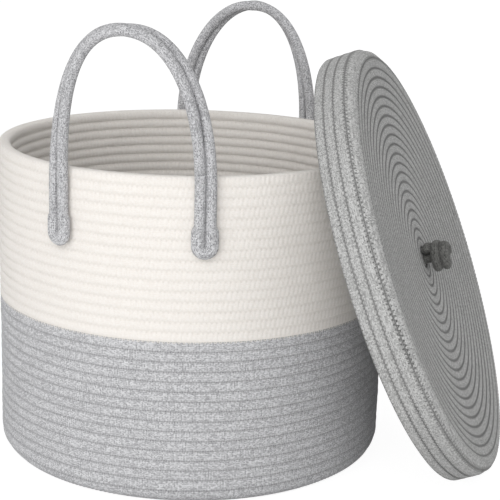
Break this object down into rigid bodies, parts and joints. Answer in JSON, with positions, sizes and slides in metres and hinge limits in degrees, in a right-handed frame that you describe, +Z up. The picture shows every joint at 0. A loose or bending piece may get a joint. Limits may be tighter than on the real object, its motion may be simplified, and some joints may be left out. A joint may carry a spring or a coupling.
{
  "type": "lidded rope basket",
  "caption": "Round storage basket of sewn cotton rope, with two rope loop handles and a loose lid leaning on its side.",
  "frame": {"origin": "centre of the basket's flat underside, on the surface it stands on", "axes": "+Z up, +X towards the leaning lid, -Y towards the front handle"},
  "size_m": [0.503, 0.4312, 0.4396],
  "materials": {
    "grey_rope": "knitted grey melange cotton rope, sewn",
    "white_rope": "knitted off-white cotton rope, sewn",
    "handle_rope": "knitted grey melange cotton rope, in pairs"
  },
  "bodies": {
    "basket": {"base_coil": "grey_rope", "lower_wall_coil": "grey_rope", "upper_wall_coil": "white_rope", "rim_coil": "white_rope", "front_handle_left_end": "handle_rope", "front_handle_right_end": "handle_rope", "back_handle_left_end": "handle_rope", "back_handle_right_end": "handle_rope"},
    "front_handle": {"front_handle_inner_cord": "handle_rope", "front_handle_outer_cord": "handle_rope"},
    "back_handle": {"back_handle_inner_cord": "handle_rope", "back_handle_outer_cord": "handle_rope"},
    "lid": {"lid_top_coil": "grey_rope", "lid_skirt_coil": "grey_rope", "lid_knob": "handle_rope"}
  },
  "joints": [
    {"name": "front_handle_fold", "type": "hinge", "parent": "basket", "child": "front_handle", "pos_m": [0, -0.1895, 0.26315], "axis": [1, 0, 0], "range_deg": [0, 160]},
    {"name": "back_handle_fold", "type": "hinge", "parent": "basket", "child": "back_handle", "pos_m": [0, 0.1895, 0.26315], "axis": [-1, 0, 0], "range_deg": [0, 160]},
    {"name": "lid_lift", "type": "slide", "parent": "basket", "child": "lid", "axis": [0.9304, 0.0357, 0.3649], "range_m": [0, 0.3]}
  ]
}
